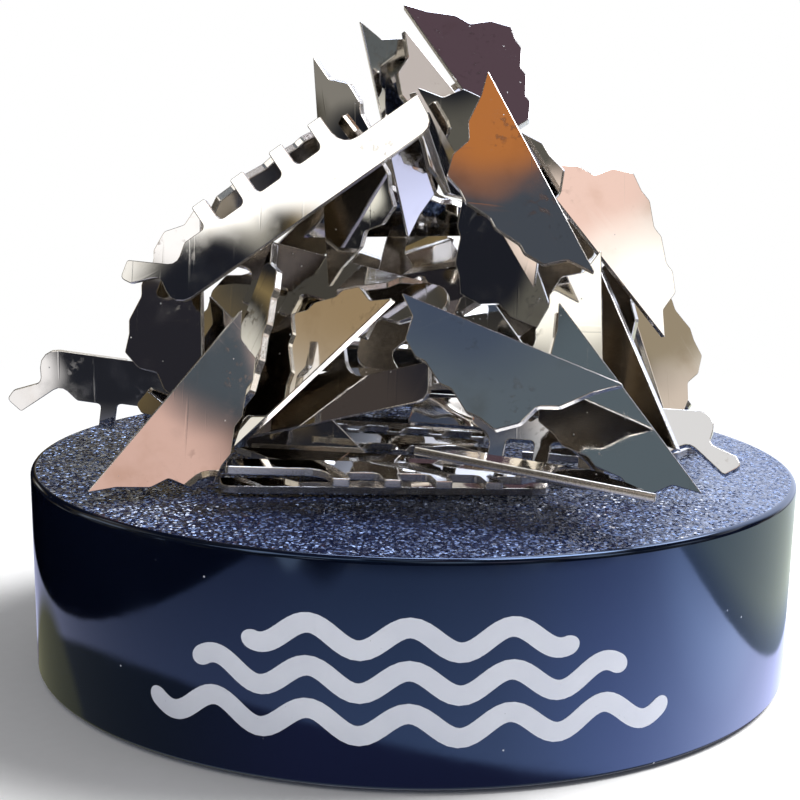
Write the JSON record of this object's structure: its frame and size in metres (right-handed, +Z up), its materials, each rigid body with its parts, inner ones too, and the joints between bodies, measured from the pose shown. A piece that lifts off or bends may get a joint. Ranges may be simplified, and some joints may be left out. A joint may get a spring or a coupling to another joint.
{
  "type": "magnetic desk sculpture",
  "caption": "Round magnetic desk base with a heap of loose stamped metal icebergs and steamships that cling to it and can be pulled off and stacked anew.",
  "frame": {"origin": "centre of the underside of the foot pad, on the table", "axes": "+Z up, -Y towards the front of the base, +X to the right seen from the front"},
  "size_m": [0.0877, 0.084, 0.0722],
  "materials": {
    "navy_shell": "glossy moulded side, fine pebbled top",
    "ferrite": "ground sintered ferrite",
    "backing_steel": "zinc plated",
    "cover_plastic": "satin moulding",
    "foam_pad": "closed-cell foam sheet",
    "nickel_steel": "bright nickel plate on stamped sheet steel"
  },
  "bodies": {
    "base": {"base_shell": "navy_shell", "magnet_disc": "ferrite", "backing_disc": "backing_steel", "bottom_cover": "cover_plastic", "foot_pad": "foam_pad"},
    "ship_front_flat": {"ship_front_flat": "nickel_steel"},
    "ship_front_stacked": {"ship_front_stacked": "nickel_steel"},
    "iceberg_front_lip": {"iceberg_front_lip": "nickel_steel"},
    "ship_front_low": {"ship_front_low": "nickel_steel"},
    "iceberg_front_left": {"iceberg_front_left": "nickel_steel"},
    "iceberg_front_centre": {"iceberg_front_centre": "nickel_steel"},
    "iceberg_front_right": {"iceberg_front_right": "nickel_steel"},
    "iceberg_left_edge": {"iceberg_left_edge": "nickel_steel"},
    "ship_left_side": {"ship_left_side": "nickel_steel"},
    "iceberg_left_upright": {"iceberg_left_upright": "nickel_steel"},
    "iceberg_left_inner": {"iceberg_left_inner": "nickel_steel"},
    "iceberg_left_low": {"iceberg_left_low": "nickel_steel"},
    "iceberg_left_upper": {"iceberg_left_upper": "nickel_steel"},
    "ship_right_low": {"ship_right_low": "nickel_steel"},
    "iceberg_right_inner": {"iceberg_right_inner": "nickel_steel"},
    "iceberg_right_leaning": {"iceberg_right_leaning": "nickel_steel"},
    "iceberg_right_edge": {"iceberg_right_edge": "nickel_steel"},
    "iceberg_right_shoulder": {"iceberg_right_shoulder": "nickel_steel"},
    "iceberg_right_upper": {"iceberg_right_upper": "nickel_steel"},
    "iceberg_right_flat": {"iceberg_right_flat": "nickel_steel"},
    "iceberg_right_rear": {"iceberg_right_rear": "nickel_steel"},
    "ship_upper_left": {"ship_upper_left": "nickel_steel"},
    "iceberg_upper_left": {"iceberg_upper_left": "nickel_steel"},
    "iceberg_upper_centre": {"iceberg_upper_centre": "nickel_steel"},
    "iceberg_upper_right": {"iceberg_upper_right": "nickel_steel"},
    "iceberg_peak_left": {"iceberg_peak_left": "nickel_steel"},
    "iceberg_peak_behind": {"iceberg_peak_behind": "nickel_steel"},
    "iceberg_peak": {"iceberg_peak": "nickel_steel"},
    "ship_core_flat": {"ship_core_flat": "nickel_steel"},
    "iceberg_core_flat": {"iceberg_core_flat": "nickel_steel"},
    "iceberg_core_low": {"iceberg_core_low": "nickel_steel"},
    "iceberg_core_centre": {"iceberg_core_centre": "nickel_steel"},
    "iceberg_core_right": {"iceberg_core_right": "nickel_steel"},
    "ship_core_left": {"ship_core_left": "nickel_steel"},
    "ship_core_right": {"ship_core_right": "nickel_steel"},
    "ship_rear_flat": {"ship_rear_flat": "nickel_steel"},
    "ship_rear_stacked": {"ship_rear_stacked": "nickel_steel"},
    "ship_rear_right_low": {"ship_rear_right_low": "nickel_steel"},
    "ship_rear_low": {"ship_rear_low": "nickel_steel"},
    "ship_rear_right": {"ship_rear_right": "nickel_steel"},
    "ship_rear_left": {"ship_rear_left": "nickel_steel"},
    "ship_rear_upright": {"ship_rear_upright": "nickel_steel"},
    "ship_rear_top": {"ship_rear_top": "nickel_steel"},
    "iceberg_rear_left": {"iceberg_rear_left": "nickel_steel"},
    "iceberg_rear_edge": {"iceberg_rear_edge": "nickel_steel"},
    "iceberg_rear_right": {"iceberg_rear_right": "nickel_steel"},
    "iceberg_rear_upper": {"iceberg_rear_upper": "nickel_steel"},
    "iceberg_rear_inner": {"iceberg_rear_inner": "nickel_steel"}
  },
  "joints": [
    {"name": "ship_front_flat_pull", "type": "slide", "parent": "base", "child": "ship_front_flat", "axis": [-0.0499, -0.9975, 0.0499], "range_m": [0, 0.04]},
    {"name": "ship_front_stacked_pull", "type": "slide", "parent": "base", "child": "ship_front_stacked", "axis": [-0.9657, -0.219, 0.1394], "range_m": [0, 0.045]},
    {"name": "iceberg_front_lip_pull", "type": "slide", "parent": "base", "child": "iceberg_front_lip", "axis": [0.597, -0.796, 0.0995], "range_m": [0, 0.04]},
    {"name": "ship_front_low_pull", "type": "slide", "parent": "base", "child": "ship_front_low", "axis": [0.8437, -0.2978, 0.4467], "range_m": [0, 0.04]},
    {"name": "iceberg_front_left_pull", "type": "slide", "parent": "base", "child": "iceberg_front_left", "axis": [0.5025, -0.5025, 0.7035], "range_m": [0, 0.04]},
    {"name": "iceberg_front_centre_pull", "type": "slide", "parent": "base", "child": "iceberg_front_centre", "axis": [0.1498, -0.6991, 0.6991], "range_m": [0, 0.04]},
    {"name": "iceberg_front_right_pull", "type": "slide", "parent": "base", "child": "iceberg_front_right", "axis": [0.6397, -0.4921, 0.5905], "range_m": [0, 0.04]},
    {"name": "iceberg_left_edge_pull", "type": "slide", "parent": "base", "child": "iceberg_left_edge", "axis": [-0.7625, -0.4575, 0.4575], "range_m": [0, 0.04]},
    {"name": "ship_left_side_pull", "type": "slide", "parent": "base", "child": "ship_left_side", "axis": [-0.9782, 0.1467, 0.1467], "range_m": [0, 0.04]},
    {"name": "iceberg_left_upright_pull", "type": "slide", "parent": "base", "child": "iceberg_left_upright", "axis": [-0.8237, 0.1938, 0.533], "range_m": [0, 0.06]},
    {"name": "iceberg_left_inner_pull", "type": "slide", "parent": "base", "child": "iceberg_left_inner", "axis": [0.5824, -0.7732, 0.251], "range_m": [0, 0.06]},
    {"name": "iceberg_left_low_pull", "type": "slide", "parent": "base", "child": "iceberg_left_low", "axis": [-0.7547, 0.6541, 0.0503], "range_m": [0, 0.06]},
    {"name": "iceberg_left_upper_pull", "type": "slide", "parent": "base", "child": "iceberg_left_upper", "axis": [-0.6583, 0.2532, 0.7089], "range_m": [0, 0.04]},
    {"name": "ship_right_low_pull", "type": "slide", "parent": "base", "child": "ship_right_low", "axis": [0.9653, -0.2488, 0.0796], "range_m": [0, 0.04]},
    {"name": "iceberg_right_inner_pull", "type": "slide", "parent": "base", "child": "iceberg_right_inner", "axis": [-0.2996, 0.6991, 0.6492], "range_m": [0, 0.04]},
    {"name": "iceberg_right_leaning_pull", "type": "slide", "parent": "base", "child": "iceberg_right_leaning", "axis": [0.398, 0.6965, 0.597], "range_m": [0, 0.04]},
    {"name": "iceberg_right_edge_pull", "type": "slide", "parent": "base", "child": "iceberg_right_edge", "axis": [0.7035, 0.1005, 0.7035], "range_m": [0, 0.04]},
    {"name": "iceberg_right_shoulder_pull", "type": "slide", "parent": "base", "child": "iceberg_right_shoulder", "axis": [0.7472, 0.1494, 0.6476], "range_m": [0, 0.04]},
    {"name": "iceberg_right_upper_pull", "type": "slide", "parent": "base", "child": "iceberg_right_upper", "axis": [0.2036, 0.1527, 0.9671], "range_m": [0, 0.04]},
    {"name": "iceberg_right_flat_pull", "type": "slide", "parent": "base", "child": "iceberg_right_flat", "axis": [0.999, 0.02, 0.04], "range_m": [0, 0.04]},
    {"name": "iceberg_right_rear_pull", "type": "slide", "parent": "base", "child": "iceberg_right_rear", "axis": [0.9877, 0.0494, 0.1482], "range_m": [0, 0.04]},
    {"name": "ship_upper_left_pull", "type": "slide", "parent": "base", "child": "ship_upper_left", "axis": [-0.6084, -0.3549, 0.7098], "range_m": [0, 0.04]},
    {"name": "iceberg_upper_left_pull", "type": "slide", "parent": "base", "child": "iceberg_upper_left", "axis": [-0.3004, 0.0701, 0.9512], "range_m": [0, 0.04]},
    {"name": "iceberg_upper_centre_pull", "type": "slide", "parent": "base", "child": "iceberg_upper_centre", "axis": [0.94, -0.18, 0.29], "range_m": [0, 0.04]},
    {"name": "iceberg_upper_right_pull", "type": "slide", "parent": "base", "child": "iceberg_upper_right", "axis": [0.4423, 0.1474, 0.8847], "range_m": [0, 0.04]},
    {"name": "iceberg_peak_left_pull", "type": "slide", "parent": "base", "child": "iceberg_peak_left", "axis": [-0.4115, -0.2572, 0.8744], "range_m": [0, 0.05]},
    {"name": "iceberg_peak_behind_pull", "type": "slide", "parent": "base", "child": "iceberg_peak_behind", "axis": [-0.6317, -0.0702, 0.772], "range_m": [0, 0.06]},
    {"name": "iceberg_peak_pull", "type": "slide", "parent": "base", "child": "iceberg_peak", "axis": [0.0514, 0.2057, 0.9773], "range_m": [0, 0.04]},
    {"name": "ship_core_flat_pull", "type": "slide", "parent": "base", "child": "ship_core_flat", "axis": [-0.8955, 0.398, 0.199], "range_m": [0, 0.08]},
    {"name": "iceberg_core_flat_pull", "type": "slide", "parent": "base", "child": "iceberg_core_flat", "axis": [0.0995, -0.9948, 0.0199], "range_m": [0, 0.055]},
    {"name": "iceberg_core_low_pull", "type": "slide", "parent": "base", "child": "iceberg_core_low", "axis": [-0.8355, 0.0983, 0.5406], "range_m": [0, 0.04]},
    {"name": "iceberg_core_centre_pull", "type": "slide", "parent": "base", "child": "iceberg_core_centre", "axis": [-0.9372, 0.3453, 0.0493], "range_m": [0, 0.04]},
    {"name": "iceberg_core_right_pull", "type": "slide", "parent": "base", "child": "iceberg_core_right", "axis": [0.3522, 0.5535, 0.7547], "range_m": [0, 0.055]},
    {"name": "ship_core_left_pull", "type": "slide", "parent": "base", "child": "ship_core_left", "axis": [-0.798, 0.5486, 0.2494], "range_m": [0, 0.04]},
    {"name": "ship_core_right_pull", "type": "slide", "parent": "base", "child": "ship_core_right", "axis": [0.3592, 0.3892, 0.8482], "range_m": [0, 0.04]},
    {"name": "ship_rear_flat_pull", "type": "slide", "parent": "base", "child": "ship_rear_flat", "axis": [-0.99, 0.1, 0.1], "range_m": [0, 0.04]},
    {"name": "ship_rear_stacked_pull", "type": "slide", "parent": "base", "child": "ship_rear_stacked", "axis": [-0.917, 0.3887, 0.0897], "range_m": [0, 0.04]},
    {"name": "ship_rear_right_low_pull", "type": "slide", "parent": "base", "child": "ship_rear_right_low", "axis": [0.9806, 0, 0.1961], "range_m": [0, 0.04]},
    {"name": "ship_rear_low_pull", "type": "slide", "parent": "base", "child": "ship_rear_low", "axis": [-0.9488, 0.2996, 0.0999], "range_m": [0, 0.04]},
    {"name": "ship_rear_right_pull", "type": "slide", "parent": "base", "child": "ship_rear_right", "axis": [-0.6881, 0.6389, 0.344], "range_m": [0, 0.04]},
    {"name": "ship_rear_left_pull", "type": "slide", "parent": "base", "child": "ship_rear_left", "axis": [-0.2494, 0.5486, 0.798], "range_m": [0, 0.075]},
    {"name": "ship_rear_upright_pull", "type": "slide", "parent": "base", "child": "ship_rear_upright", "axis": [0.0506, 0.5064, 0.8608], "range_m": [0, 0.04]},
    {"name": "ship_rear_top_pull", "type": "slide", "parent": "base", "child": "ship_rear_top", "axis": [-0.4099, 0.5635, 0.7172], "range_m": [0, 0.04]},
    {"name": "iceberg_rear_left_pull", "type": "slide", "parent": "base", "child": "iceberg_rear_left", "axis": [-0.9205, -0.02, 0.3902], "range_m": [0, 0.04]},
    {"name": "iceberg_rear_edge_pull", "type": "slide", "parent": "base", "child": "iceberg_rear_edge", "axis": [-0.0504, 0.7062, 0.7062], "range_m": [0, 0.04]},
    {"name": "iceberg_rear_right_pull", "type": "slide", "parent": "base", "child": "iceberg_rear_right", "axis": [0.7413, -0.01, 0.6711], "range_m": [0, 0.065]},
    {"name": "iceberg_rear_upper_pull", "type": "slide", "parent": "base", "child": "iceberg_rear_upper", "axis": [0.9658, -0.0508, 0.2542], "range_m": [0, 0.04]},
    {"name": "iceberg_rear_inner_pull", "type": "slide", "parent": "base", "child": "iceberg_rear_inner", "axis": [0.2494, 0.1995, 0.9476], "range_m": [0, 0.04]}
  ]
}
